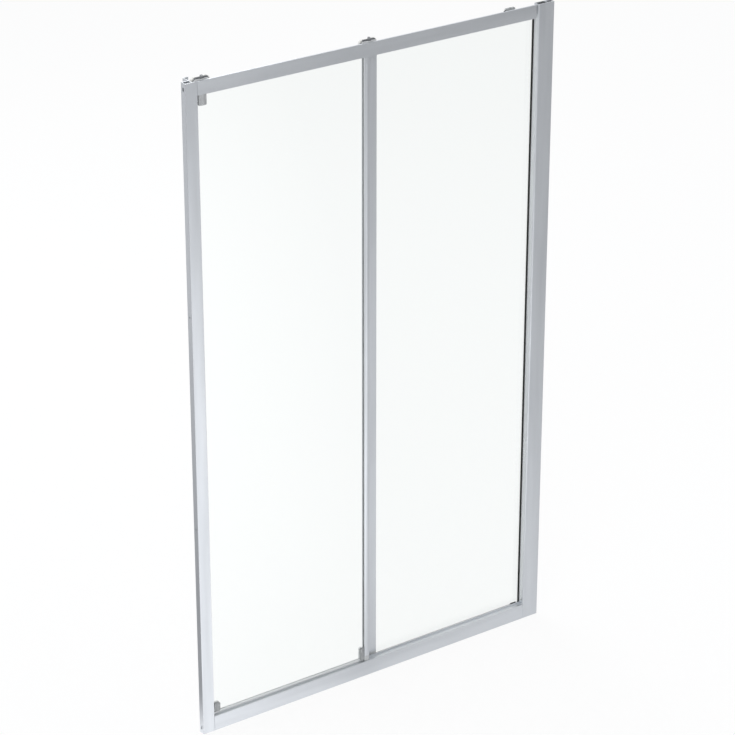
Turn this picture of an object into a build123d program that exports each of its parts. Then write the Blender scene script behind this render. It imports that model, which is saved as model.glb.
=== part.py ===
from build123d import *
import os

# Sliding shower door for an alcove: one fixed pane and one pane that slides in front of it.
# X runs along the opening, Y goes into the shower, Z is up, all in millimetres.
# Depths are measured from the front face of the frame; save() then centres the depth,
# so that the origin lies on the tray, in the middle of the frame's foot.

# Frame
frame_width = 1195.0
frame_height = 1950.0
frame_depth = 46.0
profile_wall = 1.6
left_jamb_face = 37.0
right_jamb_face = 54.5
jamb_corner_radius = 1.2
right_jamb_edge_radius = 4.0
jamb_lip_depth = 8.0
jamb_box_depth = 20.0
wall_chamber_width = 22.5
magnet_rib_height = 1.6
fascia_height = 38.5
fascia_return = 4.4
fascia_hook = 1.6
fascia_hook_wall = 0.8
fascia_rib_drop = 13.8
fascia_end_gap = 7.5
fascia_bracket_arm_front = 12.5
fascia_bracket_arm_drop = 7.0
end_plug_drop = 3.0
end_plug_height = 5.5
bottom_rail_height = 47.0
rail_edge_radius = 2.0
rail_rear_height = 30.0
rail_rear_lip_height = 42.0
fin_height = 4.5
fin_front = 15.6

# Fixing of the frame to the walls
channel_arm_length = 18.0
channel_clearance = 0.3
wall_slot_length = 12.0
wall_slot_width = 6.0
wall_slot_end_margin = 18.0
wall_hole_count = 2
wall_hole_radius = 2.25
adjusting_screw_count = 3
adjusting_screw_end_margin = 150.0
adjusting_screw_inset = 10.0

# Top track
runway_drop = 18.0
runway_front = 16.5
runway_web = 2.0
runway_centre = 20.0
ridge_radius = 1.6
track_rear_drop = 20.0
port_outer_radius = 3.2
port_inner_radius = 1.8

# Glass
door_glass_thickness = 5.0
door_glass_front = 9.5
door_glass_left = -565.5
door_glass_bottom = 54.0
door_glass_top = 1923.0
fixed_glass_thickness = 5.0
fixed_glass_front = 26.0
fixed_glass_jamb_gap = 4.0
glazing_lip_width = 26.0
glazing_flange_width = 15.0
glazing_rear_flange_width = 18.0
glazing_channel_front = 24.0
glazing_channel_width = 9.0
glazing_channel_floor = 32.0
setting_block_height = 4.0
setting_block_length = 60.0
filler_wall = 1.4
glass_groove_depth = 7.0
glass_edge_gap = 1.7

# Stiles
door_stile_width = 16.5
door_stile_depth = 16.4
door_stile_front = 2.8
door_stile_right = -22.0
door_stile_bow = 2.5
stile_mouth_lip = 5.2
stile_corner_radius = 1.5
stile_wing_width = 13.0
stile_foot_height = 16.0
stile_cap_thickness = 2.0
fixed_stile_left = -21.0
fixed_stile_width = 35.5
fixed_stile_front = 22.6
fixed_stile_depth = 11.8
fixed_stile_foot_height = 9.0
fixed_stile_mouth_lip = 2.3

# Roller carriages and their wheels
left_carriage_x = -541.5
right_carriage_x = -19.0
wheel_spacing = 34.0
wheel_radius = 11.5
wheel_width = 6.8
wheel_shoulder = 0.6
bearing_radius = 6.5
bearing_width = 5.0
axle_radius = 2.5
axle_head_radius = 4.0
axle_head_height = 1.4
carriage_length = 42.0
carriage_plate_front = 12.0
carriage_plate_thickness = 3.6
carriage_plate_drop = 10.5
carriage_plate_rise = 12.2
carriage_corner_radius = 5.0
carriage_boss_width = 12.0
carriage_boss_front = 8.0
height_screw_radius = 3.0
height_screw_head_radius = 4.0
height_screw_head_height = 5.0
height_screw_length = 29.0
hanger_head_front = 7.0
hanger_head_back = 16.0
hanger_head_bottom = 1925.6
hanger_head_height = 7.0
hanger_width = 24.0
hanger_jaw_thickness = 3.6
hanger_bottom = 1880.0
clamp_cover_thickness = 4.9
clamp_cover_bow = 3.2
hanger_screw_heights = (1889.0, 1911.0)
hanger_screw_radius = 2.5
tongue_screw_radius = 1.25

# Lower guides
guide_width_left = 20.0
guide_left_x = -546.0
guide_left_cover_bottom = 58.0
guide_left_cover_top = 84.5
guide_width_right = 13.5
guide_right_cover_bottom = 49.5
guide_right_cover_top = 91.5
guide_cover_thickness = 4.3
guide_cover_bow = 2.4
guide_housing_back = 20.9
guide_housing_inset = 0.8
guide_foot_front = 10.4
guide_cavity_width = 8.2
guide_cavity_top = 79.0
guide_window_bottom = 56.0
guide_window_top = 70.0
guide_window_width = 5.6
shoe_width = 7.6
shoe_thickness = 2.8
shoe_height = 14.0
shoe_tab_height = 5.0
shoe_tab_reach = 1.3
spring_turns = 6
spring_coil_radius = 1.15
spring_wire_radius = 0.22

# Door stop at the open end of the track
stop_left = 442.0
stop_length = 32.0
stop_height = 19.0
bumper_thickness = 4.0

# Seals of the sliding pane
seal_wall = 0.9
magnet_seal_leg = 9.0
drip_seal_leg = 3.5

# Clearances
slide_clearance = 0.3
running_clearance = 0.05
seal_clearance = 0.3
seat_clearance = 0.2
screw_clearance = 0.3

# Places that follow from the sizes above
wall_left = -frame_width / 2
wall_right = frame_width / 2
left_edge = wall_left + left_jamb_face
right_edge = wall_right - right_jamb_face
left_web = wall_left + wall_chamber_width
right_web = wall_right - wall_chamber_width
fascia_bottom = frame_height - fascia_height
fascia_rib = frame_height - fascia_rib_drop
runway_top = frame_height - runway_drop
track_rear_top = frame_height - track_rear_drop
door_glass_back = door_glass_front + door_glass_thickness
fixed_glass_back = fixed_glass_front + fixed_glass_thickness
glazing_channel_back = glazing_channel_front + glazing_channel_width
glazing_lip_front = glazing_channel_back + 0.5
glazing_lip_left = right_web - glazing_lip_width
door_stile_left = door_stile_right - door_stile_width
door_stile_back = door_stile_front + door_stile_depth
door_stile_bottom = bottom_rail_height + stile_foot_height + 1.0
fixed_stile_right = fixed_stile_left + fixed_stile_width
fixed_stile_back = fixed_stile_front + fixed_stile_depth
fixed_stile_bottom = bottom_rail_height + fixed_stile_foot_height + seat_clearance
door_glass_right = door_stile_left + profile_wall + glass_groove_depth - glass_edge_gap
fixed_glass_left = fixed_stile_right - profile_wall - glass_groove_depth + glass_edge_gap
fixed_glass_right = right_web - fixed_glass_jamb_gap
fixed_glass_bottom = glazing_channel_floor + setting_block_height
fixed_glass_top = track_rear_top - profile_wall - glass_edge_gap
rail_right = right_web - profile_wall - running_clearance
ridge_top = runway_top + ridge_radius
groove_radius = ridge_radius + running_clearance
axle_height = runway_top + wheel_radius + 0.35
rolling_radius = axle_height - runway_top - groove_radius
carriage_plate_back = carriage_plate_front + carriage_plate_thickness
carriage_top = axle_height + carriage_plate_rise
wheel_front = runway_centre - wheel_width / 2
wheel_back = runway_centre + wheel_width / 2
fin_back = fin_front + profile_wall
fin_top = bottom_rail_height + fin_height
guide_right_x = door_stile_left - seat_clearance - guide_width_right / 2
shoe_front = fin_back + slide_clearance
shoe_bottom = bottom_rail_height + 2 * slide_clearance
shoe_top = shoe_bottom + shoe_height
port_inset = profile_wall + port_outer_radius - 0.4
stile_chamber_front = door_stile_front + door_stile_bow + 1.0
track_port_heights = (fascia_bottom + port_inset, track_rear_top - port_inset)
rear_port_depth = (glazing_channel_back + profile_wall + frame_depth - profile_wall) / 2
front_port_depth = (jamb_lip_depth + glazing_channel_front - profile_wall) / 2 - 2.0
rail_front_port_heights = (port_inset, bottom_rail_height - port_inset)
rail_rear_port_height = 12.0


def rect(u0, u1, v0, v1):
    return Pos((u0 + u1) / 2, (v0 + v1) / 2) * Rectangle(u1 - u0, v1 - v0)


def disc(u, v, radius):
    return Pos(u, v) * Circle(radius)


def block(x0, x1, y0, y1, z0, z1):
    return Pos((x0 + x1) / 2, (y0 + y1) / 2, (z0 + z1) / 2) * Box(x1 - x0, y1 - y0, z1 - z0)


def upright(section, z0, z1):
    """A section drawn in X and Y, drawn out upwards."""
    return Pos(0, 0, z0) * extrude(section, z1 - z0)


def along_x(section, x0, x1):
    """A section drawn in Y and Z, drawn out along the opening."""
    return extrude(Plane.YZ.offset(x0) * section, x1 - x0)


def along_y(section, y0, y1):
    """A section drawn in X and Z, drawn out into the shower."""
    return extrude(Plane(origin=(0, y1, 0), x_dir=(1, 0, 0), z_dir=(0, -1, 0)) * section, y1 - y0)


def rod_x(x0, x1, y, z, radius):
    return along_x(disc(y, z, radius), x0, x1)


def rod_y(x, y0, y1, z, radius):
    return along_y(disc(x, z, radius), y0, y1)


def rod_z(x, y, z0, z1, radius):
    return upright(disc(x, y, radius), z0, z1)


def quarter_ring(u, v, outer, inner, corner):
    """A quarter of a ring about (u, v), in the corner given as two signs."""
    ring = disc(u, v, outer) - disc(u, v, inner)
    far_u = u + corner[0] * outer
    far_v = v + corner[1] * outer
    return ring & rect(min(u, far_u), max(u, far_u), min(v, far_v), max(v, far_v))


def screw(seat, outwards, radius, length, head_radius, head_height):
    """A socket screw whose head sits on the point seat and looks outwards."""
    head = Pos(0, 0, head_height / 2) * Cylinder(head_radius, head_height)
    shank = Pos(0, 0, -length / 2) * Cylinder(radius, length)
    socket = extrude(RegularPolygon(head_radius * 0.5, 6), head_height)
    socket = Pos(0, 0, head_height * 0.4) * socket
    return Plane(origin=seat, z_dir=outwards) * (head + shank - socket)


def spread(first, last, count):
    return [first + (last - first) * step / (count - 1) for step in range(count)]


wall_slot_heights = (wall_slot_end_margin, frame_height - wall_slot_end_margin)
wall_hole_heights = spread(*wall_slot_heights, wall_hole_count + 2)[1:-1]
adjusting_screw_heights = spread(
    adjusting_screw_end_margin, frame_height - adjusting_screw_end_margin, adjusting_screw_count)


# Channels screwed to the walls, which the jambs slide over
def wall_channel():
    front = profile_wall + channel_clearance
    back = jamb_box_depth - profile_wall - channel_clearance
    section = rect(wall_left, wall_left + profile_wall, front, back)
    for arm in (front, back - profile_wall):
        section += rect(wall_left, wall_left + channel_arm_length, arm, arm + profile_wall)
    channel = upright(section, 0, frame_height)
    middle = (front + back) / 2
    for height in wall_slot_heights:
        slot = Pos(middle, height) * SlotOverall(wall_slot_length, wall_slot_width, rotation=90)
        channel -= along_x(slot, wall_left - 1, wall_left + profile_wall + 1)
    for height in wall_hole_heights:
        channel -= rod_x(wall_left - 1, wall_left + profile_wall + 1, middle, height, wall_hole_radius)
    for height in adjusting_screw_heights:
        x = wall_left + adjusting_screw_inset
        channel -= rod_y(x, back - profile_wall - 1, back + 1, height, port_inner_radius)
    return channel


# Jambs
def adjusting_holes(jamb, x):
    for height in adjusting_screw_heights:
        y = jamb_box_depth
        jamb -= rod_y(x, y - profile_wall - 1, y + 1, height, port_inner_radius + screw_clearance)
    return jamb


def left_jamb():
    """An open box for the wall channel, and a pocket that the closed door enters."""
    section = rect(wall_left, left_edge, 0, profile_wall)
    section += rect(left_edge - profile_wall, left_edge, 0, jamb_lip_depth)
    section += rect(left_web - profile_wall, left_web, 0, frame_depth)
    section += rect(wall_left, left_web, jamb_box_depth - profile_wall, jamb_box_depth)
    section += rect(left_web - profile_wall, left_edge, frame_depth - profile_wall, frame_depth)
    for rib in (door_glass_front - 1.9, door_glass_back + 0.9):
        section += rect(left_web, left_web + magnet_rib_height, rib, rib + 1.0)
    corners = [section.vertices().sort_by_distance((x, 0, 0))[0] for x in (wall_left, left_edge)]
    section = fillet(corners, jamb_corner_radius)
    jamb = upright(section, 0, frame_height)
    for depth, height in rail_ports():
        jamb -= rod_x(left_web - 3, left_web + 1, depth, height, port_inner_radius + screw_clearance)
    return adjusting_holes(jamb, wall_left + adjusting_screw_inset)


def right_jamb():
    """A box beside the pane, and an open box for the wall channel."""
    radius = right_jamb_edge_radius
    bend = right_edge + radius
    section = rect(bend, wall_right, 0, profile_wall)
    section += quarter_ring(bend, radius, radius, radius - profile_wall, (-1, -1))
    section += rect(right_edge, right_edge + profile_wall, radius, jamb_box_depth)
    section += rect(right_edge, wall_right, jamb_box_depth - profile_wall, jamb_box_depth)
    section += rect(right_web, right_web + profile_wall, 0, jamb_box_depth)
    corner = section.vertices().sort_by_distance((wall_right, 0, 0))[0]
    section = fillet(corner, jamb_corner_radius)
    jamb = upright(section, 0, frame_height)
    for depth, height in front_ports() + [bracket_screw_place()]:
        jamb -= rod_x(right_edge - 1, right_edge + 3, depth, height, port_inner_radius + screw_clearance)
        jamb -= rod_x(right_web - 1, right_web + 3, depth, height, port_outer_radius + 1.0)
    for height in adjusting_screw_heights:
        jamb -= rod_y(profile_screw_x(), jamb_box_depth - 3, jamb_box_depth + 1, height, port_inner_radius)
    return adjusting_holes(jamb, wall_right - adjusting_screw_inset)


def profile_screw_x():
    return right_web - glazing_flange_width / 2


def right_glazing_profile():
    """Stands behind the right jamb and holds the edge of the fixed pane from the rear."""
    front = jamb_box_depth + running_clearance
    section = rect(right_web - profile_wall, right_web, front, frame_depth)
    section += rect(right_web - glazing_flange_width, right_web, front, front + profile_wall)
    section += rect(glazing_lip_left, right_web, glazing_lip_front, glazing_lip_front + profile_wall)
    section += rect(right_web - glazing_rear_flange_width, right_web, frame_depth - profile_wall, frame_depth)
    profile = upright(section, 0, track_rear_top)
    notch_right = right_web - profile_wall
    for low, high in ((0, bottom_rail_height), (fascia_bottom, track_rear_top)):
        profile -= block(right_edge, notch_right, front - 1, frame_depth + 1,
                         low - running_clearance, high + running_clearance)
    for depth, height in rear_ports():
        profile -= rod_x(right_web - 3, right_web + 1, depth, height, port_inner_radius + screw_clearance)
    for height in adjusting_screw_heights:
        profile -= rod_y(profile_screw_x(), front - 1, front + 3, height, port_inner_radius + screw_clearance)
    return profile


def jamb_end_plugs():
    """Dark plugs that close the two hollows in the top end of the right jamb."""
    gap = channel_clearance
    top = frame_height - end_plug_drop
    bottom = top - end_plug_height
    wide = block(right_edge + profile_wall + gap, right_web - gap, profile_wall + gap,
                 jamb_box_depth - profile_wall - gap, bottom, top)
    corner = wide.edges().filter_by(Axis.Z).sort_by_distance((right_edge, 0, top))[0]
    wide = fillet(corner, right_jamb_edge_radius - profile_wall)
    wide -= block(right_edge + 2 * profile_wall + gap, right_web - profile_wall - gap,
                  2 * profile_wall + gap, jamb_box_depth - 2 * profile_wall - gap, bottom - 1, top - profile_wall)
    arm = 2 * profile_wall + 2 * gap
    narrow = block(right_web + profile_wall + gap, wall_right - profile_wall - gap, arm,
                   jamb_box_depth - arm, bottom, top)
    return Compound([wide, narrow])


# Rails
def screw_port(depth, height):
    return disc(depth, height, port_outer_radius)


def front_ports():
    return [(front_port_depth, height) for height in rail_front_port_heights]


def rear_ports():
    return [(rear_port_depth, height) for height in track_port_heights + (rail_rear_port_height,)]


def rail_ports():
    return front_ports() + rear_ports()


def jamb_notch(low, high):
    """What the rails leave free for the box of the right jamb."""
    return block(right_edge, rail_right + 1, -1, jamb_box_depth + running_clearance, low - 1, high + 1)


def top_fascia():
    """The cover in front of the carriages, with a hooked channel along its back."""
    section = rect(0, profile_wall, fascia_bottom, frame_height)
    section += rect(0, fascia_return, frame_height - profile_wall, frame_height)
    section += rect(0, fascia_return, fascia_rib - profile_wall, fascia_rib)
    hook_front = fascia_return - fascia_hook_wall
    section += rect(hook_front, fascia_return, fascia_rib, fascia_rib + fascia_hook)
    hook_bottom = frame_height - profile_wall - fascia_hook
    section += rect(hook_front, fascia_return, hook_bottom, frame_height)
    return along_x(section, left_edge, right_edge - fascia_end_gap)


def top_track():
    """The runway for the wheels, over the channel that holds the fixed pane."""
    front_wall = glazing_channel_front - profile_wall
    box_front = glazing_channel_back + profile_wall
    section = rect(runway_front, glazing_channel_front, runway_top - runway_web, runway_top)
    section += disc(runway_centre, runway_top, ridge_radius) & rect(
        runway_centre - ridge_radius, runway_centre + ridge_radius, runway_top - 1, ridge_top)
    section += rect(front_wall, glazing_channel_front, fascia_bottom, runway_top)
    section += rect(front_wall, frame_depth, track_rear_top - profile_wall, track_rear_top)
    section += rect(glazing_channel_back, box_front, fascia_bottom, track_rear_top)
    section += rect(frame_depth - profile_wall, frame_depth, fascia_bottom, track_rear_top)
    section += rect(glazing_channel_back, frame_depth, fascia_bottom, fascia_bottom + profile_wall)
    for height in track_port_heights:
        section += screw_port(rear_port_depth, height)
    for height in track_port_heights:
        section -= disc(rear_port_depth, height, port_inner_radius)
    track = along_x(section, left_edge, rail_right) - jamb_notch(fascia_bottom, frame_height)
    return track - rod_z(stop_screw_x(), runway_centre, runway_top - 5, ridge_top + 1, port_inner_radius)


def bottom_rail():
    """The sill: a front ledge with the guide fin, the glazing channel and a sloping back."""
    front_wall = glazing_channel_front - profile_wall
    box_front = glazing_channel_back + profile_wall
    floor = glazing_channel_floor
    outline = Polyline(
        (0, 0), (frame_depth, 0), (frame_depth, rail_rear_height),
        (box_front, rail_rear_lip_height), (glazing_channel_back, rail_rear_lip_height),
        (glazing_channel_back, floor), (glazing_channel_front, floor),
        (glazing_channel_front, bottom_rail_height), (fin_back, bottom_rail_height),
        (fin_back, fin_top), (fin_front, fin_top), (fin_front, bottom_rail_height),
        (0, bottom_rail_height), close=True)
    section = make_face(outline)
    corner = section.vertices().sort_by_distance((0, bottom_rail_height, 0))[0]
    section = fillet(corner, rail_edge_radius)
    section -= rect(profile_wall, front_wall, profile_wall, bottom_rail_height - profile_wall)
    section -= rect(glazing_channel_front, glazing_channel_back, profile_wall, floor - profile_wall)
    slope_drop = rail_rear_lip_height - rail_rear_height
    rear_hollow = Polyline(
        (box_front, profile_wall), (frame_depth - profile_wall, profile_wall),
        (frame_depth - profile_wall, rail_rear_height - profile_wall),
        (box_front, rail_rear_height - profile_wall + slope_drop * 0.85), close=True)
    section -= make_face(rear_hollow)
    places = front_ports() + rear_ports()[-1:]
    for depth, height in places:
        section += screw_port(depth, height)
    section += rect(rear_port_depth - 0.8, rear_port_depth + 0.8, 0, rail_rear_port_height)
    for depth, height in places:
        section -= disc(depth, height, port_inner_radius)
    return along_x(section, left_edge, rail_right) - jamb_notch(0, fin_top)


# Blocks that join the rails to the jambs
def top_corner_block():
    gap = channel_clearance
    back = frame_depth - profile_wall - gap
    start = left_web + magnet_rib_height + running_clearance
    end = left_edge - gap
    low = fascia_rib + gap
    high = frame_height - profile_wall - gap
    spine_end = wheel_centres(left_carriage_x)[0] - wheel_radius - 0.8
    body = block(start, spine_end, jamb_lip_depth + gap, back, fascia_bottom + gap, track_rear_top - gap)
    body += block(start, spine_end, jamb_lip_depth + gap, runway_front, fascia_bottom + gap, high)
    body += block(start, end, runway_front, back, fascia_bottom + gap, track_rear_top - gap)
    neck_right = left_edge + 8.0
    hook_front = fascia_return - fascia_hook_wall
    body += block(start, neck_right, jamb_lip_depth + gap, jamb_lip_depth + 2.4, low, high)
    body += block(left_edge + gap, neck_right, hook_front - gap, jamb_lip_depth + 1,
                  low + fascia_hook, high - fascia_hook)
    body += block(left_edge + gap, neck_right, profile_wall + gap, hook_front - gap, low, high)
    for height in track_port_heights:
        body -= rod_x(left_web, left_edge, rear_port_depth, height, port_inner_radius + screw_clearance)
    return body


def bottom_corner_block():
    gap = channel_clearance
    back = frame_depth - profile_wall - gap
    top = bottom_rail_height - gap
    start = left_web + magnet_rib_height + running_clearance
    outline = rect(start, left_edge - profile_wall - gap, profile_wall + gap, back)
    outline += rect(start, left_edge - gap, jamb_lip_depth + gap, back)
    body = upright(outline, 0, top)
    body -= block(left_web, left_edge, glazing_channel_back, frame_depth, rail_rear_height, top + 1)
    tongue_front = front_port_depth + port_outer_radius + gap
    tongue_back = glazing_channel_front - profile_wall - gap
    inner_top = bottom_rail_height - profile_wall - gap
    body += block(left_edge - 2, left_edge + 14, tongue_front, tongue_back,
                  profile_wall + gap, inner_top)
    for depth, height in front_ports() + rear_ports()[-1:]:
        body -= rod_x(left_web, left_edge + 1, depth, height, port_inner_radius + screw_clearance)
    return body


def bracket_screw_place():
    return (fascia_bracket_arm_front + port_outer_radius - 1.0, fascia_rib + port_inner_radius)


def fascia_bracket():
    """Holds the open end of the fascia to the right jamb, from behind the gap between them."""
    gap = channel_clearance
    low = fascia_rib + gap
    high = frame_height - profile_wall - gap
    hook_front = fascia_return - fascia_hook_wall
    end = right_edge - fascia_end_gap
    left = end - 14.0
    arm_top = frame_height - fascia_bracket_arm_drop
    depth, height = bracket_screw_place()
    body = block(left, end - gap, profile_wall + gap, hook_front - gap, low, high)
    body += block(left, end - gap, hook_front - gap, fascia_bracket_arm_front + 1,
                  low + fascia_hook, high - fascia_hook)
    body += block(left, right_edge - gap, fascia_bracket_arm_front, fascia_bracket_arm_front + 3.0,
                  low + fascia_hook, arm_top)
    body += rod_x(end - 4, right_edge - gap, depth, height, port_outer_radius)
    return body - rod_x(end - 3, right_edge + 1, depth, height, port_inner_radius)


# Screws of the frame
def frame_screws():
    radius = port_inner_radius - running_clearance
    head = port_outer_radius - 0.2
    screws = []
    for depth, height in rail_ports():
        seat = (left_web - profile_wall, depth, height)
        screws.append(screw(seat, (-1, 0, 0), radius, 28.0, head, 2.0))
    for depth, height in front_ports():
        seat = (right_edge + profile_wall, depth, height)
        screws.append(screw(seat, (1, 0, 0), radius, 14.0, head, 2.0))
    for depth, height in rear_ports():
        screws.append(screw((right_web, depth, height), (1, 0, 0), radius, 14.0, head, 2.0))
    for height in adjusting_screw_heights:
        seat = (profile_screw_x(), jamb_box_depth + running_clearance + profile_wall, height)
        screws.append(screw(seat, (0, 1, 0), radius, 6.0, head, 2.0))
    depth, height = bracket_screw_place()
    seat = (right_edge + profile_wall, depth, height)
    screws.append(screw(seat, (1, 0, 0), radius, 9.0, head, 2.0))
    seat = (stop_screw_x(), runway_centre, runway_top + stop_height - 3.0)
    screws.append(screw(seat, (0, 0, 1), radius, stop_height - 1.0, head, 2.0))
    return Compound(screws)


def adjusting_screws():
    radius = port_inner_radius - running_clearance
    screws = []
    for x in (wall_left + adjusting_screw_inset, wall_right - adjusting_screw_inset):
        for height in adjusting_screw_heights:
            seat = (x, jamb_box_depth, height)
            screws.append(screw(seat, (0, 1, 0), radius, 8.0, port_outer_radius, 1.8))
    return Compound(screws)


# Fixed pane and what holds it
def fixed_glass():
    return block(fixed_glass_left, fixed_glass_right, fixed_glass_front, fixed_glass_back,
                 fixed_glass_bottom, fixed_glass_top)


def fixed_stile():
    inner_front = fixed_stile_front + profile_wall
    inner_back = fixed_stile_back - profile_wall
    groove = fixed_stile_right - profile_wall - glass_groove_depth
    section = rect(fixed_stile_left, fixed_stile_right, fixed_stile_front, fixed_stile_back)
    section = fillet(section.vertices(), 0.8)
    section -= rect(fixed_stile_left + profile_wall, groove - profile_wall, inner_front, inner_back)
    section -= rect(groove, fixed_stile_right - profile_wall, inner_front, inner_back)
    mouth_front = fixed_stile_front + fixed_stile_mouth_lip
    mouth_back = fixed_stile_back - fixed_stile_mouth_lip
    section -= rect(groove, fixed_stile_right + 1, mouth_front, mouth_back)
    return upright(section, fixed_stile_bottom, fascia_bottom - seat_clearance)


def fixed_stile_foot():
    """The moulded foot under the fixed stile, with a plug that enters its chamber."""
    gap = seat_clearance
    top = fixed_stile_bottom - running_clearance
    foot = block(fixed_stile_left, fixed_stile_right, fixed_stile_front, fixed_stile_back,
                 bottom_rail_height + gap, top)
    foot = fillet(foot.edges().filter_by(Axis.Z), 0.8)
    plug_right = fixed_stile_right - 2 * profile_wall - glass_groove_depth - gap
    foot += block(fixed_stile_left + profile_wall + gap, plug_right,
                  fixed_stile_front + profile_wall + gap, fixed_stile_back - profile_wall - gap,
                  top - 1, top + 12)
    slot_left = fixed_glass_left - seal_clearance
    return foot - block(slot_left, fixed_stile_right + 1, fixed_glass_front - seal_clearance,
                        fixed_glass_back + seal_clearance, 0, top + 1)


def u_gasket(edge_x, mouth_x, front, back, glass_front, glass_back, lip_front, lip_back):
    """A glazing gasket round the edge of a pane, in X and Y, with lips at the mouth."""
    gap = running_clearance
    left = min(edge_x, mouth_x)
    right = max(edge_x, mouth_x)
    section = rect(left, right, front + gap, back - gap)
    inward = 1.2 if edge_x < mouth_x else -1.2
    glass_left = min(edge_x + inward, mouth_x + 3 * inward)
    glass_right = max(edge_x + inward, mouth_x + 3 * inward)
    outer = mouth_x + (profile_wall if edge_x < mouth_x else -profile_wall)
    section += rect(min(mouth_x, outer), max(mouth_x, outer), lip_front + gap, lip_back - gap)
    return section - rect(glass_left, glass_right, glass_front - gap, glass_back + gap)


def fixed_stile_gasket():
    groove = fixed_stile_right - profile_wall - glass_groove_depth
    section = u_gasket(groove + running_clearance, fixed_stile_right - profile_wall - running_clearance,
                       fixed_stile_front + profile_wall, fixed_stile_back - profile_wall,
                       fixed_glass_front, fixed_glass_back,
                       fixed_stile_front + fixed_stile_mouth_lip, fixed_stile_back - fixed_stile_mouth_lip)
    return upright(section, fixed_stile_bottom, fascia_bottom - seat_clearance)


def jamb_gasket():
    """The black gasket in the right jamb, whose front lip shows beside the reveal."""
    gap = running_clearance
    outer = right_edge - 3.0
    inner = right_edge + 14.0
    section = rect(outer, inner, jamb_box_depth + gap, fixed_glass_front - gap)
    near = section.vertices().sort_by_distance((outer, jamb_box_depth, 0))[0]
    section = fillet(near, 2.0)
    rear = rect(glazing_lip_left + gap, inner, fixed_glass_back + gap, glazing_lip_front - gap)
    low = bottom_rail_height + gap
    high = fascia_bottom - gap
    return Compound([upright(section, low, high), upright(rear, low, high)])


def track_gasket():
    """The gasket over the top edge of the fixed pane."""
    gap = running_clearance
    section = rect(glazing_channel_front + gap, glazing_channel_back - gap,
                   fascia_bottom + 0.5, track_rear_top - profile_wall - gap)
    section -= rect(fixed_glass_front - gap, fixed_glass_back + gap, 0, fixed_glass_top + gap)
    return along_x(section, fixed_stile_right + gap, right_edge - gap)


def rail_gasket():
    """The two strips that hold the foot of the fixed pane, front and back."""
    gap = running_clearance
    low = glazing_channel_floor + 0.5
    front = rect(glazing_channel_front + gap, fixed_glass_front - gap, low, bottom_rail_height - 0.4)
    back = rect(fixed_glass_back + gap, glazing_channel_back - gap, low, rail_rear_lip_height - 0.4)
    start = fixed_stile_right + gap
    return Compound([along_x(front, start, right_edge - gap), along_x(back, start, right_edge - gap)])


def setting_blocks():
    quarter = (fixed_glass_right - fixed_glass_left) / 4
    blocks = []
    for centre in (fixed_glass_left + quarter, fixed_glass_right - quarter):
        half = setting_block_length / 2
        blocks.append(block(centre - half, centre + half,
                            fixed_glass_front, fixed_glass_back,
                            glazing_channel_floor + running_clearance, fixed_glass_bottom))
    return Compound(blocks)


def glass_wedge():
    """The short dark wedge that pins the pane at its lower right corner."""
    left = right_edge - 29.0
    wedge = block(left, left + 20.0, glazing_channel_front - 1.2, fixed_glass_front - running_clearance,
                  bottom_rail_height + 0.1, bottom_rail_height + 2.6)
    return chamfer(wedge.edges().group_by(Axis.Z)[-1].sort_by(Axis.Y)[0], 1.0)


def channel_fillers():
    """Close the unused half of the glazing channel in the sill and in the track."""
    gap = running_clearance
    wall = filler_wall
    front = glazing_channel_front + gap
    back = glazing_channel_back - gap
    top = bottom_rail_height - 1.0
    rear_top = rail_rear_lip_height
    slope = make_face(Polyline((front, top - wall), (front, top), (back, rear_top),
                               (back, rear_top - wall), close=True))
    sill = slope + rect(front, front + wall, glazing_channel_floor + gap, top - wall / 2)
    sill += rect(back - wall, back, glazing_channel_floor + gap, rear_top - wall / 2)
    low = fascia_bottom + gap
    track = rect(front, back, low, low + wall)
    for leg in (front, back - wall):
        track += rect(leg, leg + wall, low, track_rear_top - profile_wall - gap)
    start = left_edge + gap
    end = fixed_stile_left - gap
    return Compound([along_x(sill, start, end), along_x(track, start, end)])


def strike_magnet():
    strip = rect(left_web + running_clearance, left_web + 1.6,
                 door_glass_front - 0.8, door_glass_back + 0.8)
    return upright(strip, door_glass_bottom + 6.0, fascia_bottom - 6.0)


# Stop at the end of the track
def stop_screw_x():
    return stop_left + stop_length / 2


def door_stop():
    stop = block(stop_left, stop_left + stop_length, runway_front + 0.4, glazing_channel_front - 0.6,
                 runway_top + running_clearance, runway_top + stop_height)
    stop = fillet(stop.edges().filter_by(Axis.Y).group_by(Axis.Z)[-1], 3.0)
    stop -= rod_x(stop_left - 1, stop_left + stop_length + 1, runway_centre, runway_top, groove_radius)
    bore_top = runway_top + stop_height
    stop -= rod_z(stop_screw_x(), runway_centre, runway_top - 1, bore_top + 1,
                  port_inner_radius + screw_clearance)
    return stop - rod_z(stop_screw_x(), runway_centre, bore_top - 3.0, bore_top + 1,
                        port_outer_radius + 0.1)


def stop_bumper():
    centre = runway_top + stop_height * 0.6
    pad = rod_x(stop_left - bumper_thickness, stop_left - running_clearance, runway_centre, centre, 3.0)
    return fillet(pad.edges().group_by(Axis.X)[0], 1.0)


# Sliding pane and its trims
def door_glass():
    pane = block(door_glass_left, door_glass_right, door_glass_front, door_glass_back,
                 door_glass_bottom, door_glass_top)
    for x, height, radius in glass_hole_places():
        pane -= rod_y(x, door_glass_front - 1, door_glass_back + 1, height, radius + 0.8)
    return pane


def glass_hole_places():
    places = [(left_carriage_x, height, hanger_screw_radius) for height in hanger_screw_heights]
    return places + guide_screw_places()


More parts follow.
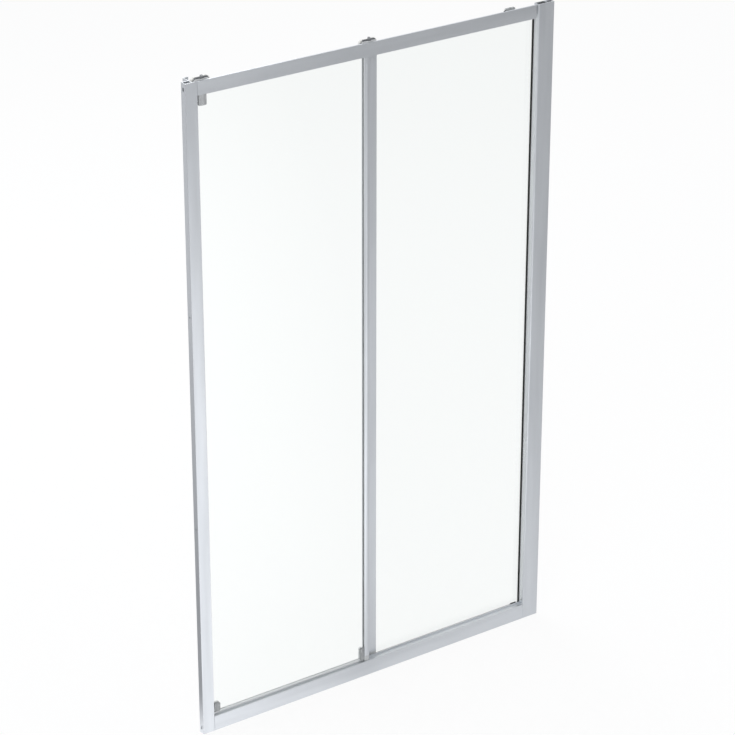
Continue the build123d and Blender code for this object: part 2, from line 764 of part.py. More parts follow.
def door_stile_outline():
    """Box with a bowed front, without its wing."""
    front_edge = door_stile_front + door_stile_bow
    middle = (door_stile_left + door_stile_right) / 2
    bow = ThreePointArc((door_stile_left, front_edge), (middle, door_stile_front),
                        (door_stile_right, front_edge))
    sides = Polyline((door_stile_right, front_edge), (door_stile_right, door_stile_back),
                     (door_stile_left, door_stile_back), (door_stile_left, front_edge))
    section = make_face(bow.edges() + sides.edges())
    corners = section.vertices().sort_by(Axis.Y)[:2]
    return fillet(corners, stile_corner_radius)


def door_stile_groove():
    return door_stile_left + profile_wall + glass_groove_depth


def door_stile():
    groove = door_stile_groove()
    inside = offset(door_stile_outline(), -profile_wall)
    section = door_stile_outline()
    wing_front = door_stile_back - profile_wall
    section += rect(door_stile_right - 1, door_stile_right + stile_wing_width, wing_front, door_stile_back)
    section -= inside - rect(groove, groove + profile_wall, 0, frame_depth)
    section -= rect(door_stile_left - 1, groove, door_stile_front + stile_mouth_lip,
                    door_stile_back - stile_mouth_lip + 2.0)
    stile = upright(section, door_stile_bottom, door_glass_top)
    for height in hanger_screw_heights:
        stile -= rod_y(stile_tongue_x(), door_stile_back - 3, door_stile_back + 1, height,
                       tongue_screw_radius + screw_clearance)
    return stile


def stile_tongue_x():
    return (door_stile_groove() + door_stile_right) / 2


def door_stile_gasket():
    groove = door_stile_groove()
    section = u_gasket(groove - running_clearance, door_stile_left + profile_wall + running_clearance,
                       stile_chamber_front, door_stile_back - profile_wall,
                       door_glass_front, door_glass_back,
                       door_stile_front + stile_mouth_lip, door_stile_back - stile_mouth_lip + 2.0)
    return upright(section, door_stile_bottom, door_glass_top)


def door_stile_cap():
    cap = upright(door_stile_outline(), door_glass_top + 0.1, door_glass_top + stile_cap_thickness)
    return cap - block(*stile_chamber(-seat_clearance), door_glass_top - 1, door_glass_top + 5)


def stile_chamber(gap):
    """The free chamber of the door stile in X and Y, drawn in by a gap."""
    return (door_stile_groove() + profile_wall + gap, door_stile_right - profile_wall - gap,
            stile_chamber_front + gap, door_stile_back - profile_wall - gap)


def door_stile_foot():
    """The moulded foot of the door stile, cut away over the guide fin."""
    top = door_stile_bottom - running_clearance
    bottom = bottom_rail_height + 2 * slide_clearance
    foot = upright(door_stile_outline(), bottom, top)
    foot -= block(door_stile_left - 1, door_stile_right + 1, fin_front - slide_clearance,
                  door_stile_back + 1, 0, fin_top + 2 * slide_clearance)
    foot += block(*stile_chamber(seat_clearance), top - 1, top + 14)
    gap = running_clearance
    return foot - block(door_stile_left - 1, door_glass_right + gap, door_glass_front - gap,
                        door_glass_back + gap, door_glass_bottom - gap, top + 20)


def overlap_brush():
    """The brush on the wing of the door stile, which closes the gap between the panes."""
    middle = door_stile_right + stile_wing_width / 2
    back = door_stile_back + running_clearance
    section = rect(middle - 3.2, middle + 3.2, back, back + 0.9)
    section += rect(middle - 1.3, middle + 1.3, back, fixed_stile_front - seal_clearance)
    return upright(section, door_stile_bottom, fascia_bottom - 2.0)


def magnet_seal():
    """The seal on the leading edge of the pane, with a chamber that holds its magnet."""
    gap = running_clearance
    front = door_glass_front
    back = door_glass_back
    tip = left_web + 1.6 + seal_clearance
    section = rect(tip, door_glass_left - gap, front - seal_wall, back + seal_wall)
    section = fillet(section.vertices().sort_by(Axis.X)[:2], 0.8)
    section -= rect(tip + 2.8, door_glass_left - 1.6, front, back)
    for leg in (front - seal_wall, back + gap):
        section += rect(door_glass_left - 1, door_glass_left + magnet_seal_leg, leg, leg + seal_wall - gap)
    return upright(section, door_glass_bottom + 6.0, fascia_bottom - 6.0)


def drip_seal():
    """The seal under the pane, with a soft lip that wipes the ledge."""
    gap = running_clearance
    low = door_glass_bottom - gap
    bottom = low - 1.2
    section = rect(door_glass_front - seal_wall, door_glass_back + seal_wall, bottom, low)
    for leg in (door_glass_front - seal_wall, door_glass_back + gap):
        section += rect(leg, leg + seal_wall - gap, bottom, low + drip_seal_leg)
    middle = (door_glass_front + door_glass_back) / 2
    lip_end = bottom_rail_height + seal_clearance
    lip = Polyline((middle - 1.0, bottom + 0.2), (middle + 1.0, bottom + 0.2),
                   (middle - 0.6, lip_end), (middle - 1.4, lip_end), close=True)
    section += make_face(lip)
    start = guide_left_x + guide_width_left / 2 + seat_clearance
    end = guide_right_x - guide_width_right / 2 - seat_clearance
    return along_x(section, start, end)


# Roller carriages
def wheel_centres(x):
    return (x - wheel_spacing / 2, x + wheel_spacing / 2)


def carriage(x):
    """The moulded body that carries two wheels in line and is threaded on the height screw."""
    half = carriage_length / 2
    bottom = axle_height - carriage_plate_drop
    plate = rect(x - half, x + half, bottom, carriage_top)
    plate = fillet(plate.vertices().sort_by(Axis.Y)[-2:], carriage_corner_radius)
    body = along_y(plate, carriage_plate_front, carriage_plate_back)
    boss_half = carriage_boss_width / 2
    boss = upright(rect(x - boss_half, x + boss_half, carriage_boss_front, carriage_plate_front + 1),
                   bottom + 4.0, carriage_top)
    body += fillet(boss.edges().filter_by(Axis.Z).group_by(Axis.Y)[0], 2.0)
    for centre in wheel_centres(x):
        body += rod_y(centre, carriage_plate_back - 1, wheel_front + 0.35, axle_height, axle_radius + 1.5)
        body -= rod_y(centre, carriage_plate_front - 1, wheel_front + 1, axle_height, axle_radius)
    return body - rod_z(x, height_screw_depth(), bottom, carriage_top + 1,
                        height_screw_radius + running_clearance)


def height_screw_depth():
    return (door_glass_front + door_glass_back) / 2


def wheel_axles():
    pins = []
    for x in (left_carriage_x, right_carriage_x):
        for centre in wheel_centres(x):
            pin = rod_y(centre, carriage_plate_front + 0.2, wheel_back + 0.3, axle_height, axle_radius)
            pin += rod_y(centre, wheel_back - 0.6, wheel_back + axle_head_height, axle_height,
                         axle_head_radius)
            pins.append(pin)
    return Compound(pins)


def wheel_tyre(x):
    """A tyre with a round groove that rides on the ridge of the track."""
    section = rect(wheel_front, wheel_back, bearing_radius, wheel_radius)
    rim = section.vertices().group_by(Axis.Y)[-1]
    section = fillet(rim, wheel_shoulder)
    section -= disc(runway_centre, axle_height - runway_top, groove_radius)
    section -= rect(wheel_front - 1, wheel_front + 0.6, 0, bearing_radius + 2.0)
    section -= rect(wheel_back - 0.7, wheel_back + 1, 0, bearing_radius + 2.0)
    ring = revolve(Plane.YZ * section, Axis.Y)
    return Pos(x, 0, axle_height) * ring


def wheel_bearing(x):
    half = bearing_width / 2
    bore = axle_radius + running_clearance
    section = rect(runway_centre - half, runway_centre + half, bore, bearing_radius)
    for face in (runway_centre - half, runway_centre + half):
        section -= rect(face - 0.4, face + 0.4, bore + 1.2, bearing_radius - 1.0)
    ring = revolve(Plane.YZ * section, Axis.Y)
    return Pos(x, 0, axle_height) * ring


def height_screws():
    screws = []
    for x in (left_carriage_x, right_carriage_x):
        seat = (x, height_screw_depth(), carriage_top)
        screws.append(screw(seat, (0, 0, 1), height_screw_radius, height_screw_length,
                            height_screw_head_radius, height_screw_head_height))
    return Compound(screws)


def hanger_head(x):
    half = hanger_width / 2
    head = block(x - half, x + half, hanger_head_front, hanger_head_back,
                 hanger_head_bottom, hanger_head_bottom + hanger_head_height)
    head = fillet(head.edges().filter_by(Axis.Y).group_by(Axis.Z)[-1], 2.0)
    return head


def hanger_bore(x):
    return rod_z(x, height_screw_depth(), hanger_head_bottom + 1, hanger_head_bottom + 20,
                 height_screw_radius + running_clearance)


def hanger_left():
    """Hangs the free end of the pane: a head for the height screw over the rear clamp jaw."""
    x = left_carriage_x
    half = hanger_width / 2
    front = door_glass_back + seat_clearance
    jaw = block(x - half, x + half, front, front + hanger_jaw_thickness,
                hanger_bottom, hanger_head_bottom)
    body = fillet(jaw.edges().filter_by(Axis.Z).group_by(Axis.Y)[-1], 1.5)
    body += hanger_head(x)
    body += block(x - half, x + half, front, hanger_head_back, hanger_head_bottom - 1, hanger_head_bottom + 1)
    for height in hanger_screw_heights:
        body -= rod_y(x, front - 1, front + 10, height, hanger_screw_radius + screw_clearance)
    return body - hanger_bore(x)


def hanger_right():
    """Hangs the other end by a tongue that enters the chamber of the door stile."""
    x = right_carriage_x
    body = hanger_head(x) - hanger_bore(x)
    body += block(*stile_chamber(seat_clearance), hanger_bottom, hanger_head_bottom + 1)
    for height in hanger_screw_heights:
        body -= rod_y(stile_tongue_x(), door_stile_back - 12, door_stile_back, height, tongue_screw_radius)
    return body


def bowed_section(x, width, front, back, bow):
    """A cover section in X and Y: flat back and sides, and a front bowed outwards."""
    left = x - width / 2
    right = x + width / 2
    arc = ThreePointArc((left, front + bow), (x, front), (right, front + bow))
    sides = Polyline((right, front + bow), (right, back), (left, back), (left, front + bow))
    return make_face(arc.edges() + sides.edges())


def clamp_cover():
    back = door_glass_front - seat_clearance
    section = bowed_section(left_carriage_x, hanger_width, back - clamp_cover_thickness, back,
                            clamp_cover_bow)
    cover = upright(section, hanger_bottom, door_glass_top)
    for height in hanger_screw_heights:
        cover -= rod_y(left_carriage_x, back - 3.2, back + 1, height, hanger_screw_radius)
    return cover


def hanger_screws():
    screws = []
    back = door_glass_back + seat_clearance + hanger_jaw_thickness
    for height in hanger_screw_heights:
        screws.append(screw((left_carriage_x, back, height), (0, 1, 0),
                            hanger_screw_radius - running_clearance, 11.0, 4.0, 1.8))
        screws.append(screw((stile_tongue_x(), door_stile_back, height), (0, 1, 0),
                            tongue_screw_radius - running_clearance, 10.0, 2.4, 1.2))
    return Compound(screws)


# Lower guides
def guide_screw_places():
    side = guide_width_left / 2 - 3.5
    middle = (guide_window_top + guide_left_cover_bottom) / 2 + 10.0
    return [(guide_left_x - side, middle, 1.6), (guide_left_x + side, middle, 1.6),
            (guide_right_x, guide_cavity_top + 6.0, 1.6)]


def guide_cover(x, width, bottom, top, corner):
    """The front half of a guide, bowed forwards and rounded in outline."""
    outline = rect(x - width / 2, x + width / 2, bottom, top)
    outline = fillet(outline.vertices().sort_by(Axis.Y)[-2:], corner)
    return bowed_cover(x, width, outline)


def bowed_cover(x, width, outline):
    back = door_glass_front - seat_clearance
    section = bowed_section(x, width + 2, back - guide_cover_thickness, back, guide_cover_bow)
    box = outline.bounding_box()
    bar = upright(section, box.min.Y - 1, box.max.Y + 1)
    return bar & along_y(outline, 0, back + 1)


def guide_cover_left():
    cover = guide_cover(guide_left_x, guide_width_left, guide_left_cover_bottom,
                        guide_left_cover_top, 7.0)
    for x, height, radius in guide_screw_places()[:2]:
        cover -= rod_y(x, 0, door_glass_front, height, radius + screw_clearance)
        cover -= rod_y(x, 0, door_glass_front - 2.4, height, radius + 1.4)
    return cover


def guide_cover_right():
    back = door_glass_front - seat_clearance
    length = guide_right_cover_top - guide_right_cover_bottom
    middle = (guide_right_cover_top + guide_right_cover_bottom) / 2
    outline = Pos(guide_right_x, middle) * SlotOverall(length, guide_width_right, rotation=90)
    cover = bowed_cover(guide_right_x, guide_width_right, outline)
    x, height, radius = guide_screw_places()[2]
    return cover - rod_y(x, back - 3.0, back + 1, height, radius)


def guide_housing(x, width, top):
    """The rear half of a guide: a toe in front of the fin and a pocket for the sprung shoe."""
    front = door_glass_back + seat_clearance
    foot_bottom = fin_top + slide_clearance
    foot_top = door_glass_bottom - seat_clearance
    half = width / 2 - guide_housing_inset
    body = block(x - half, x + half, front, guide_housing_back, foot_bottom, top - guide_housing_inset)
    body = fillet(body.edges().filter_by(Axis.Y).group_by(Axis.Z)[-1], 4.0)
    body += block(x - half, x + half, guide_foot_front, guide_housing_back, foot_bottom, foot_top)
    body += block(x - half, x + half, guide_foot_front, fin_front - slide_clearance,
                  bottom_rail_height + 2 * slide_clearance, foot_top)
    cavity = guide_cavity_width / 2
    body -= block(x - cavity, x + cavity, shoe_front - running_clearance,
                  shoe_front + shoe_thickness + running_clearance, 0, guide_cavity_top)
    window = guide_window_width / 2
    body -= block(x - window, x + window, shoe_front, guide_housing_back + 1,
                  guide_window_bottom, guide_window_top)
    for place_x, height, radius in guide_screw_places():
        body -= rod_y(place_x, front - 1, guide_housing_back + 1, height, radius + running_clearance)
    return body


def guide_shoe(x):
    """The sprung tongue behind the fin, lifted by its tab to free the foot of the door."""
    half = shoe_width / 2
    shoe = block(x - half, x + half, shoe_front, shoe_front + shoe_thickness, shoe_bottom, shoe_top)
    shoe = chamfer(shoe.edges().filter_by(Axis.Y).group_by(Axis.Z)[0], 1.0)
    tab_half = guide_window_width / 2 - slide_clearance
    tab_bottom = guide_window_bottom + slide_clearance
    shoe += block(x - tab_half, x + tab_half, shoe_front + 1, guide_housing_back + shoe_tab_reach,
                  tab_bottom, tab_bottom + shoe_tab_height)
    return shoe


def guide_spring(x):
    """The coil that pushes a shoe down, between the shoe and the roof of its pocket."""
    gap = 0.1
    low = shoe_top + gap + spring_wire_radius
    high = guide_cavity_top - gap - spring_wire_radius
    path = Helix((high - low) / spring_turns, high - low, spring_coil_radius)
    wire = Plane(origin=path @ 0, z_dir=path % 0) * Circle(spring_wire_radius)
    coil = sweep(wire, path=path, is_frenet=True)
    return Pos(x, shoe_front + shoe_thickness / 2, low) * coil


def guide_screws():
    screws = []
    places = guide_screw_places()
    for x, height, radius in places[:2]:
        seat = (x, door_glass_front - 2.4, height)
        screws.append(screw(seat, (0, -1, 0), radius, 11.5, radius + 1.2, 1.6))
    x, height, radius = places[2]
    seat = (x, guide_housing_back, height)
    screws.append(screw(seat, (0, 1, 0), radius - running_clearance, 13.5, radius + 1.2, 1.2))
    return Compound(screws)


def save(name, shape):
    placed = Pos(0, -frame_depth / 2, 0) * shape
    export_step(placed, f"parts/{name}.step")


os.makedirs("parts", exist_ok=True)

save("left_wall_channel", wall_channel())
save("right_wall_channel", mirror(wall_channel(), about=Plane.YZ))
save("left_jamb", left_jamb())
save("right_jamb", right_jamb())
save("right_glazing_profile", right_glazing_profile())
save("jamb_end_plugs", jamb_end_plugs())
save("top_fascia", top_fascia())
save("top_track", top_track())
save("bottom_rail", bottom_rail())
save("top_corner_block", top_corner_block())
save("bottom_corner_block", bottom_corner_block())
save("fascia_bracket", fascia_bracket())
save("frame_screws", frame_screws())
save("adjusting_screws", adjusting_screws())
save("fixed_glass", fixed_glass())
save("fixed_stile", fixed_stile())
save("fixed_stile_foot", fixed_stile_foot())
save("fixed_stile_gasket", fixed_stile_gasket())
save("jamb_gasket", jamb_gasket())
save("track_gasket", track_gasket())
save("rail_gasket", rail_gasket())
save("setting_blocks", setting_blocks())
save("glass_wedge", glass_wedge())
save("channel_fillers", channel_fillers())
save("strike_magnet", strike_magnet())
save("door_stop", door_stop())
save("stop_bumper", stop_bumper())
save("door_glass", door_glass())
save("door_stile", door_stile())
save("door_stile_gasket", door_stile_gasket())
save("door_stile_cap", door_stile_cap())
save("door_stile_foot", door_stile_foot())
save("overlap_brush", overlap_brush())
save("magnet_seal", magnet_seal())
save("drip_seal", drip_seal())
save("carriage_left", carriage(left_carriage_x))
save("carriage_right", carriage(right_carriage_x))
save("wheel_axles", wheel_axles())
save("height_screws", height_screws())
save("hanger_left", hanger_left())
save("hanger_right", hanger_right())
save("clamp_cover", clamp_cover())
save("hanger_screws", hanger_screws())
wheel_places = wheel_centres(left_carriage_x) + wheel_centres(right_carriage_x)
for number, place in enumerate(wheel_places, start=1):
    save(f"wheel_{number}_tyre", wheel_tyre(place))
    save(f"wheel_{number}_bearing", wheel_bearing(place))
save("guide_cover_left", guide_cover_left())
save("guide_cover_right", guide_cover_right())
save("guide_screws", guide_screws())
for side, place, width, top in (("left", guide_left_x, guide_width_left, guide_left_cover_top),
                                ("right", guide_right_x, guide_width_right, guide_right_cover_top)):
    save(f"guide_housing_{side}", guide_housing(place, width, top))
    save(f"guide_shoe_{side}", guide_shoe(place))
    save(f"guide_spring_{side}", guide_spring(place))

print("rolling radius of the wheels", rolling_radius)
print("free travel of the door", stop_left - bumper_thickness - right_carriage_x
      - wheel_spacing / 2 - wheel_radius)
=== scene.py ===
import bpy
import bmesh
import math
from mathutils import Matrix, Vector


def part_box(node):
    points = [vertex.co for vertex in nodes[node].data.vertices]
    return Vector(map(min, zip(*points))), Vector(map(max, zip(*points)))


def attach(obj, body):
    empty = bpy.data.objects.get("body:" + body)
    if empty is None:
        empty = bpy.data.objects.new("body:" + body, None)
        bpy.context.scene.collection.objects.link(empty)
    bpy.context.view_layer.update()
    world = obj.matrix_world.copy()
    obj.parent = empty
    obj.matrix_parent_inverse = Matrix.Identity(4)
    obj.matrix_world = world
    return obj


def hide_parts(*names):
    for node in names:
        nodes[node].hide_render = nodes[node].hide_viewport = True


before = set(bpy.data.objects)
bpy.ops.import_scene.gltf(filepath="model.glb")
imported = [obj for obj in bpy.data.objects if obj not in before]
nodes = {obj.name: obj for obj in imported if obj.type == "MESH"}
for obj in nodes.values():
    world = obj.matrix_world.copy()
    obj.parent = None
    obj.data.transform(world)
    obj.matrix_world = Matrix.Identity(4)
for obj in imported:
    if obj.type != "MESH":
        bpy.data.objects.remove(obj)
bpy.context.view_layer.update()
scene = bpy.context.scene
mm = 0.001
print("frame loaded:", len(nodes), "nodes")


# colours are written as they look on screen and turned to linear once, here
def tint(hexCode):
    channels = [int(hexCode[i:i + 2], 16) / 255 for i in (1, 3, 5)]
    return [c / 12.92 if c <= 0.04045 else ((c + 0.055) / 1.055) ** 2.4 for c in channels] + [1.0]


def addNode(tree, kind, settings=None, values=None, links=None):
    node = tree.nodes.new(kind)
    for name, value in (settings or {}).items():
        setattr(node, name, value)
    for name, value in (values or {}).items():
        node.inputs[name].default_value = value
    for name, source in (links or {}).items():
        tree.links.new(source, node.inputs[name])
    return node


def startMaterial(name, shaderValues):
    material = bpy.data.materials.new(name)
    material.use_nodes = True
    tree = material.node_tree
    tree.nodes.clear()
    shader = addNode(tree, "ShaderNodeBsdfPrincipled", values=shaderValues)
    addNode(tree, "ShaderNodeOutputMaterial", links={"Surface": shader.outputs["BSDF"]})
    place = addNode(tree, "ShaderNodeTexCoord").outputs["Object"]
    return material, tree, shader, place


def grainNoise(tree, place, stretch, detail=3.0, roughness=0.55):
    # stretch is the pattern's size in millimetres along X, Y and Z
    scale = [1.0 / (size * mm) for size in stretch]
    mapped = addNode(tree, "ShaderNodeMapping", {"vector_type": "POINT"}, {"Scale": scale}, {"Vector": place})
    return addNode(tree, "ShaderNodeTexNoise", None,
                   {"Scale": 1.0, "Detail": detail, "Roughness": roughness},
                   {"Vector": mapped.outputs["Vector"]}).outputs["Fac"]


def spreadValue(tree, source, low, high, fromLow=0.3, fromHigh=0.7):
    return addNode(tree, "ShaderNodeMapRange", None,
                   {"From Min": fromLow, "From Max": fromHigh, "To Min": low, "To Max": high},
                   {"Value": source}).outputs["Result"]


def blendTints(tree, factor, first, second):
    return addNode(tree, "ShaderNodeMix", {"data_type": "RGBA"}, {"A": tint(first), "B": tint(second)},
                   {"Factor": factor}).outputs["Result"]


def roughen(tree, shader, source, strength, depth):
    bump = addNode(tree, "ShaderNodeBump", None, {"Strength": strength, "Distance": depth * mm},
                   {"Height": source})
    tree.links.new(bump.outputs["Normal"], shader.inputs["Normal"])


# extruded aluminium, satin anodised in natural silver: a soft even sheen with faint die lines
# that follow the length of the profile, and a slow drift in the depth of the oxide
anodisedLook = {"dark": "#CDD0D3", "light": "#DBDEE1", "metallic": 0.78, "roughness": 0.36,
                "lineSpacing": 1.1, "driftSize": 42.0, "runLength": 900.0}


def anodisedAluminium(name, run):
    look = anodisedLook
    material, tree, shader, place = startMaterial(name, {"Metallic": look["metallic"]})
    lineStretch = [look["lineSpacing"]] * 3
    driftStretch = [look["driftSize"]] * 3
    lineStretch[run] = look["runLength"]
    driftStretch[run] = look["runLength"] * 0.6
    lines = grainNoise(tree, place, lineStretch, 2.0)
    drift = grainNoise(tree, place, driftStretch, 2.0)
    tree.links.new(blendTints(tree, spreadValue(tree, drift, 0.0, 1.0), look["dark"], look["light"]),
                   shader.inputs["Base Color"])
    tree.links.new(spreadValue(tree, lines, look["roughness"] - 0.05, look["roughness"] + 0.06),
                   shader.inputs["Roughness"])
    # real die lines are some hundredths of a millimetre deep; these are drawn a little deeper to show
    roughen(tree, shader, lines, 0.18, 0.05)
    return material


# injection moulded ABS with a fine spark-eroded grain: matt, with slightly brighter crests
def mouldedPlastic(name, dark, light, roughness, grainSize=0.6):
    material, tree, shader, place = startMaterial(name, {"IOR": 1.53, "Specular IOR Level": 0.45})
    grain = grainNoise(tree, place, [grainSize] * 3, 4.0)
    cloud = grainNoise(tree, place, [9.0] * 3, 2.0)
    tree.links.new(blendTints(tree, spreadValue(tree, cloud, 0.0, 1.0), dark, light),
                   shader.inputs["Base Color"])
    tree.links.new(spreadValue(tree, grain, roughness - 0.06, roughness + 0.08), shader.inputs["Roughness"])
    roughen(tree, shader, grain, 0.25, 0.06)
    return material


# the same moulded plastic with a darker band along its top edge, from one height upwards: painted shade that
# stands in for the shade on the carriage's top
def shadeBandedPlastic(name, light, dark, stripFoot):
    material, tree, shader, place = startMaterial(name, {"IOR": 1.53, "Specular IOR Level": 0.45})
    grain = grainNoise(tree, place, [0.6] * 3, 4.0)
    height = addNode(tree, "ShaderNodeSeparateXYZ", links={"Vector": place}).outputs["Z"]
    strip = spreadValue(tree, height, 0.0, 1.0, stripFoot - 0.2 * mm, stripFoot + 0.2 * mm)
    tree.links.new(blendTints(tree, strip, light, dark), shader.inputs["Base Color"])
    tree.links.new(spreadValue(tree, grain, 0.4, 0.55), shader.inputs["Roughness"])
    roughen(tree, shader, grain, 0.25, 0.06)
    return material


# extruded EPDM, coal black and dull, with a faint bloom along the run
def extrudedRubber(name, dark, light, roughness=0.72, run=2):
    material, tree, shader, place = startMaterial(name, {"IOR": 1.5, "Specular IOR Level": 0.35})
    stretch = [1.6, 1.6, 1.6]
    stretch[run] = 60.0
    bloom = grainNoise(tree, place, stretch, 3.0)
    speck = grainNoise(tree, place, [0.5] * 3, 3.0)
    tree.links.new(blendTints(tree, spreadValue(tree, bloom, 0.0, 1.0), dark, light),
                   shader.inputs["Base Color"])
    tree.links.new(spreadValue(tree, speck, roughness - 0.1, roughness + 0.1), shader.inputs["Roughness"])
    roughen(tree, shader, speck, 0.3, 0.05)
    return material


# soft PVC: milky and nearly opaque, glossy where the die has wiped it
def clearVinyl(name, run=2):
    material, tree, shader, place = startMaterial(name, {"IOR": 1.53, "Transmission Weight": 0.08})
    stretch = [2.2, 2.2, 2.2]
    stretch[run] = 120.0
    flow = grainNoise(tree, place, stretch, 2.0)
    tree.links.new(blendTints(tree, spreadValue(tree, flow, 0.0, 1.0), "#DFE2E1", "#F1F3F2"),
                   shader.inputs["Base Color"])
    tree.links.new(spreadValue(tree, flow, 0.22, 0.38), shader.inputs["Roughness"])
    roughen(tree, shader, flow, 0.2, 0.05)
    return material


# soft PVC filled grey: opaque and satin
def greyVinyl(name):
    return extrudedRubber(name, "#9B9EA0", "#ABAEB0", 0.45)


# zinc plated steel: cool grey with the fine rings and scratches that turning and driving leave
def platedSteel(name, dark="#9A9C9D", light="#C4C6C7", roughness=0.3):
    material, tree, shader, place = startMaterial(name, {"Metallic": 1.0})
    scratch = grainNoise(tree, place, [0.35, 0.35, 2.0], 4.0)
    patch = grainNoise(tree, place, [3.0] * 3, 2.0)
    tree.links.new(blendTints(tree, spreadValue(tree, patch, 0.0, 1.0), dark, light),
                   shader.inputs["Base Color"])
    tree.links.new(spreadValue(tree, scratch, roughness - 0.08, roughness + 0.1), shader.inputs["Roughness"])
    roughen(tree, shader, scratch, 0.2, 0.03)
    return material


# die cast zinc, shot blasted and plated satin: brighter than the plastic, with a fine even pebble
def castZinc(name):
    material, tree, shader, place = startMaterial(name, {"Metallic": 0.75})
    pebble = grainNoise(tree, place, [0.5] * 3, 3.0)
    cloud = grainNoise(tree, place, [14.0] * 3, 2.0)
    tree.links.new(blendTints(tree, spreadValue(tree, cloud, 0.0, 1.0), "#C0C2C2", "#D6D8D8"),
                   shader.inputs["Base Color"])
    tree.links.new(spreadValue(tree, pebble, 0.34, 0.46), shader.inputs["Roughness"])
    roughen(tree, shader, pebble, 0.25, 0.04)
    return material


# acetal, turned and polished: milk white and a little waxy
def whiteAcetal(name):
    material, tree, shader, place = startMaterial(name, {
        "IOR": 1.48, "Subsurface Weight": 0.12, "Subsurface Radius": (0.002, 0.002, 0.0018),
        "Subsurface Scale": 1.0})
    turned = grainNoise(tree, place, [0.7, 2.0, 0.7], 2.0)
    tree.links.new(blendTints(tree, spreadValue(tree, turned, 0.0, 1.0), "#E2E1DC", "#EFEEEA"),
                   shader.inputs["Base Color"])
    tree.links.new(spreadValue(tree, turned, 0.3, 0.42), shader.inputs["Roughness"])
    return material


# toughened float glass: clear, with a trace of iron green that gathers at the cut edges,
# and the very faint roller wave that toughening leaves in its face
def toughenedGlass(name):
    material, tree, shader, place = startMaterial(name, {
        "Base Color": tint("#FBFDFC"), "IOR": 1.5, "Transmission Weight": 1.0, "Roughness": 0.0})
    wave = grainNoise(tree, place, [260.0, 260.0, 120.0], 1.0)
    roughen(tree, shader, wave, 0.02, 0.4)
    return material


# bonded ferrite strip: dark brown-grey, dull, slightly gritty
def ferriteStrip(name):
    return extrudedRubber(name, "#2E2B29", "#3B3836", 0.6)


# woven polypropylene pile: mid grey and dull, with tufts that differ a little in shade
def wovenPile(name):
    material, tree, shader, place = startMaterial(name, {"IOR": 1.49, "Specular IOR Level": 0.2,
                                                         "Roughness": 0.85})
    tuft = grainNoise(tree, place, [0.5, 0.5, 0.3], 3.0)
    tree.links.new(blendTints(tree, spreadValue(tree, tuft, 0.0, 1.0), "#7B7D7E", "#A3A5A6"),
                   shader.inputs["Base Color"])
    roughen(tree, shader, tuft, 0.4, 0.1)
    return material


anodisedUpright = anodisedAluminium("anodised_aluminium_upright", 2)
anodisedRail = anodisedAluminium("anodised_aluminium_rail", 0)
lightPlastic = mouldedPlastic("moulded_abs_light_grey", "#B9BBBB", "#C6C8C8", 0.48)
guidePlastic = mouldedPlastic("moulded_abs_mid_grey", "#8E9091", "#A9ABAB", 0.5)
stopPlastic = mouldedPlastic("moulded_nylon_grey", "#A4A6A6", "#B2B4B4", 0.5)
whitePlastic = mouldedPlastic("moulded_acetal_white", "#D9DADA", "#E6E7E7", 0.42)
darkPlastic = mouldedPlastic("moulded_nylon_black", "#1C1D1E", "#2A2B2C", 0.5)
# painted shade: the top band of each carriage is drawn darker to stand in for the shade that falls on its top
shadeBandHeight = 4.5 * mm
carriagePlastic = shadeBandedPlastic("moulded_nylon_with_painted_shade_band", "#E0E1E1", "#6C6E70",
                                  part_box("carriage_left")[1][2] - shadeBandHeight)
blackRubber = extrudedRubber("extruded_epdm_black", "#181818", "#2A2A2A")
blackRubberRail = extrudedRubber("extruded_epdm_black_rail", "#181818", "#2A2A2A", run=0)
vinylUpright = clearVinyl("clear_vinyl_upright")
vinylRail = clearVinyl("clear_vinyl_rail", 0)
vinylGrey = greyVinyl("grey_vinyl_upright")
steelFixings = platedSteel("zinc_plated_steel")
steelSpring = platedSteel("spring_steel", "#7F8183", "#A9ABAD", 0.26)
zincSatin = castZinc("die_cast_zinc_satin")
acetal = whiteAcetal("turned_acetal_white")
paneGlass = toughenedGlass("toughened_float_glass")
magnetStrip = ferriteStrip("bonded_ferrite_strip")
pileYarn = wovenPile("woven_polypropylene_pile")
print("materials made:", len(bpy.data.materials))

finishOfNode = {
    "left_wall_channel": anodisedUpright, "right_wall_channel": anodisedUpright,
    "left_jamb": anodisedUpright, "right_jamb": anodisedUpright,
    "door_stile": anodisedUpright, "fixed_stile": anodisedUpright,
    "top_fascia": anodisedRail, "top_track": anodisedRail, "bottom_rail": anodisedRail,
    "channel_fillers": anodisedRail, "right_glazing_profile": anodisedUpright,
    "top_corner_block": lightPlastic, "bottom_corner_block": lightPlastic,
    "fascia_bracket": lightPlastic, "fixed_stile_foot": lightPlastic,
    "door_stile_cap": lightPlastic, "door_stile_foot": lightPlastic,
    "jamb_end_plugs": darkPlastic,
    "guide_cover_left": guidePlastic, "guide_cover_right": guidePlastic,
    "guide_housing_left": whitePlastic, "guide_housing_right": whitePlastic,
    "guide_shoe_left": acetal, "guide_shoe_right": acetal,
    "door_stop": stopPlastic,
    "carriage_left": carriagePlastic, "carriage_right": carriagePlastic,
    "frame_screws": steelFixings, "adjusting_screws": steelFixings, "wheel_axles": steelFixings,
    "height_screws": steelFixings, "hanger_screws": steelFixings, "guide_screws": steelFixings,
    "guide_spring_left": steelSpring, "guide_spring_right": steelSpring,
    "hanger_left": zincSatin, "hanger_right": zincSatin, "clamp_cover": zincSatin,
    "fixed_glass": paneGlass, "door_glass": paneGlass,
    "strike_magnet": magnetStrip,
}
for number in range(1, 5):
    finishOfNode["wheel_%d_tyre" % number] = acetal
    finishOfNode["wheel_%d_bearing" % number] = steelFixings

for name, finish in finishOfNode.items():
    nodes[name].data.materials.clear()
    nodes[name].data.materials.append(finish)
print("finishes given to", len(finishOfNode), "solids")


# seals, gaskets and other soft pieces: each stands where its plain solid stands
def corners(node):
    low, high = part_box(node)
    return Vector(low), Vector(high)


